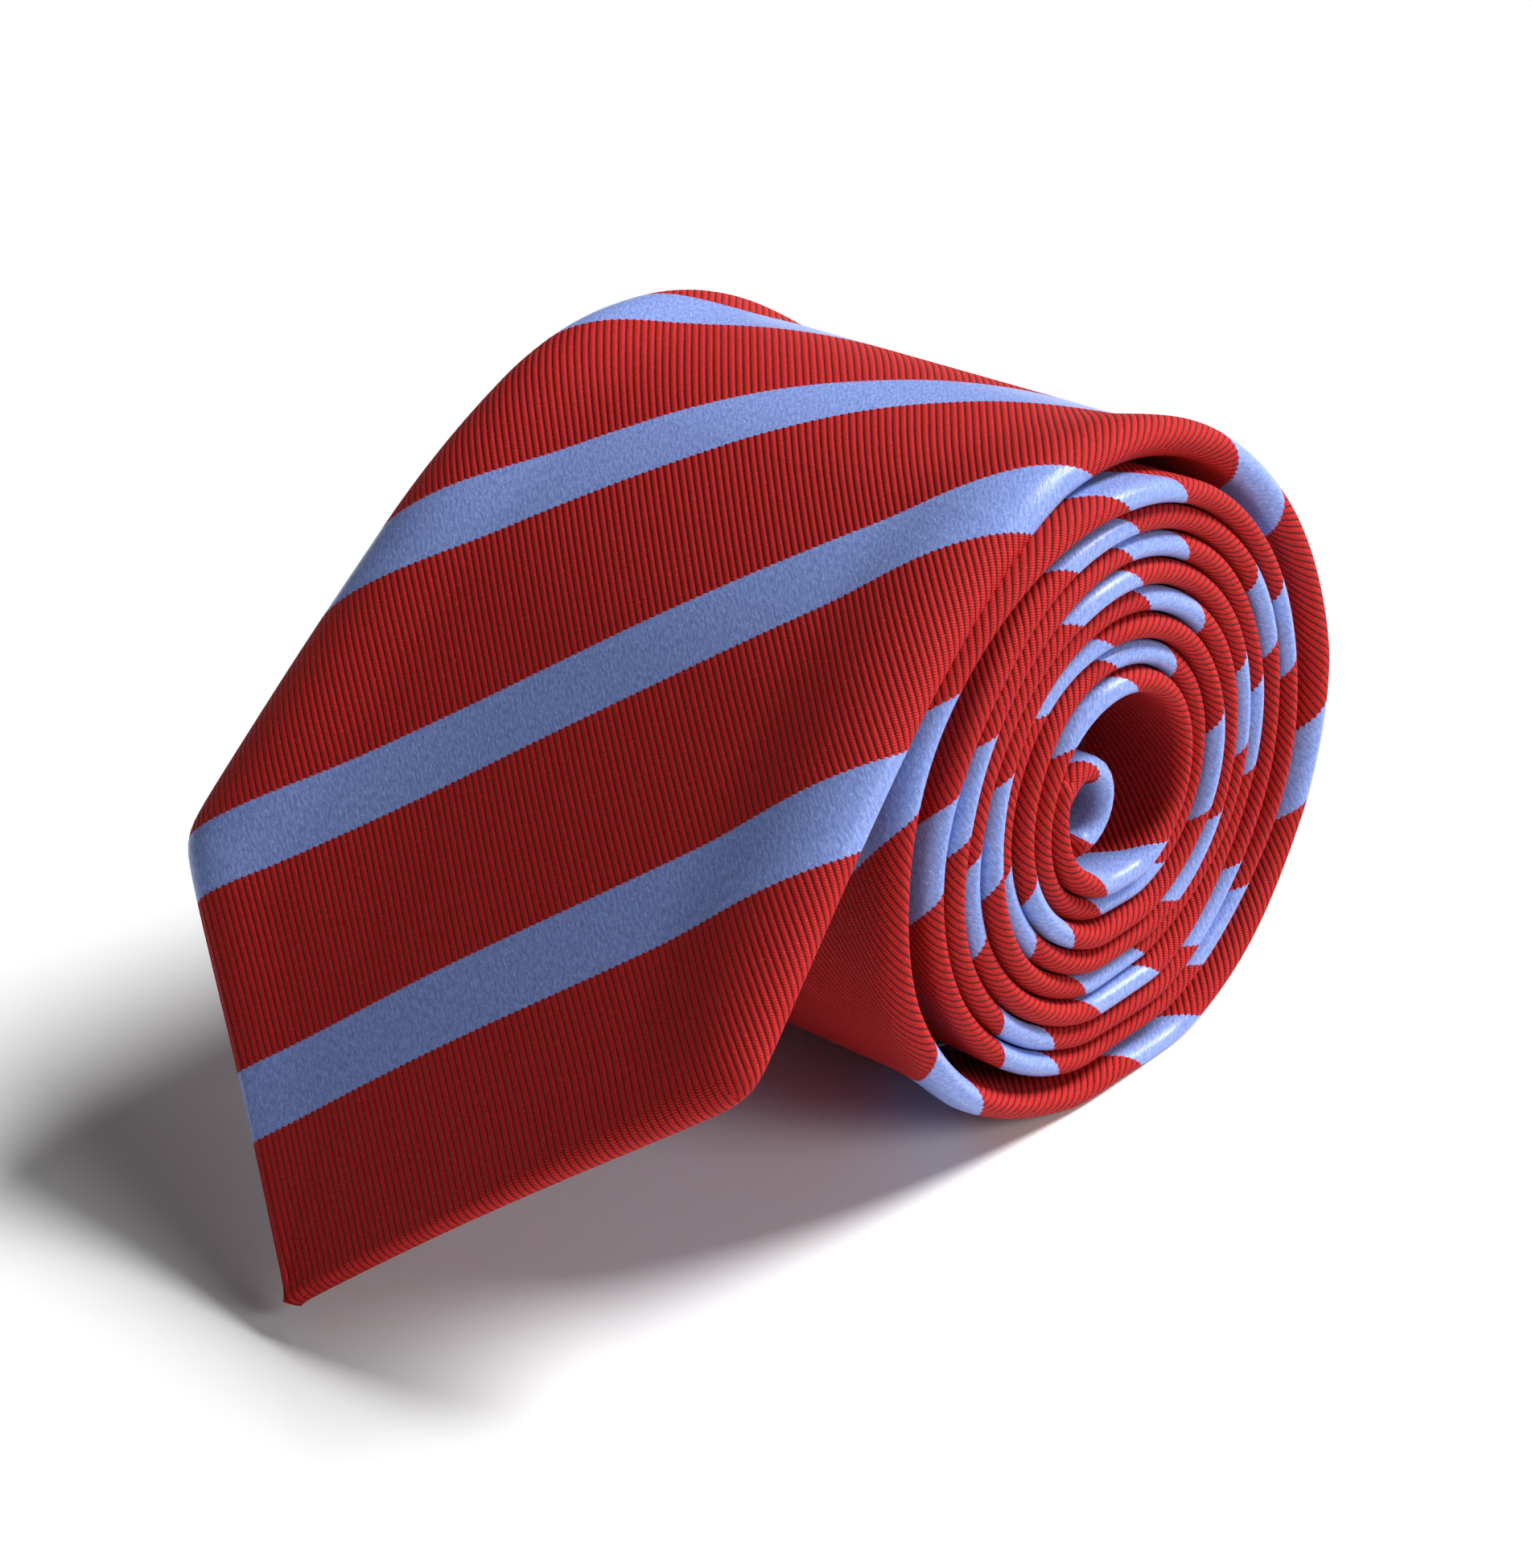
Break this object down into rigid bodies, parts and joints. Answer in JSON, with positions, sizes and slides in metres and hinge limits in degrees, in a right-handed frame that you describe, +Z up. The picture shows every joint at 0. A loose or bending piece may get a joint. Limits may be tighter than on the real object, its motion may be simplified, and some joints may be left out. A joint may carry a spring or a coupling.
{
  "type": "necktie",
  "caption": "Striped repp-weave silk necktie, rolled up from its narrow end, with the pointed end of the wide blade hanging off the roll.",
  "frame": {"origin": "on the table, under the middle of the object's box", "axes": "+X along the roll's axis, towards the end where all turns are flush; -Y towards the hanging blade's tip; +Z up"},
  "size_m": [0.08, 0.1301, 0.0763],
  "materials": {
    "red_stripe_silk": "ribbed silk with satin diagonal stripes in light blue",
    "interlining_wool": "brushed, matte",
    "tipping_satin": "satin lining",
    "red_thread": "twisted thread",
    "label_satin": "blank woven satin"
  },
  "bodies": {
    "roll": {"blade_shell": "red_stripe_silk", "neck_shell": "red_stripe_silk", "tail_shell": "red_stripe_silk", "interlining": "interlining_wool", "tail_tipping": "tipping_satin", "keeper_loop": "red_stripe_silk", "maker_label": "label_satin", "care_label": "label_satin", "slip_stitch": "red_thread", "blade_seam": "red_thread", "tail_seam": "red_thread", "tail_bar_tack": "red_thread"},
    "flap": {"flap_shell": "red_stripe_silk", "flap_interlining": "interlining_wool", "blade_tipping": "tipping_satin", "blade_bar_tack": "red_thread"}
  },
  "joints": [
    {"name": "flap_lift", "type": "hinge", "parent": "roll", "child": "flap", "pos_m": [0, -0.00719, 0.06271], "axis": [-1, 0, 0], "range_deg": [0, 50]}
  ]
}
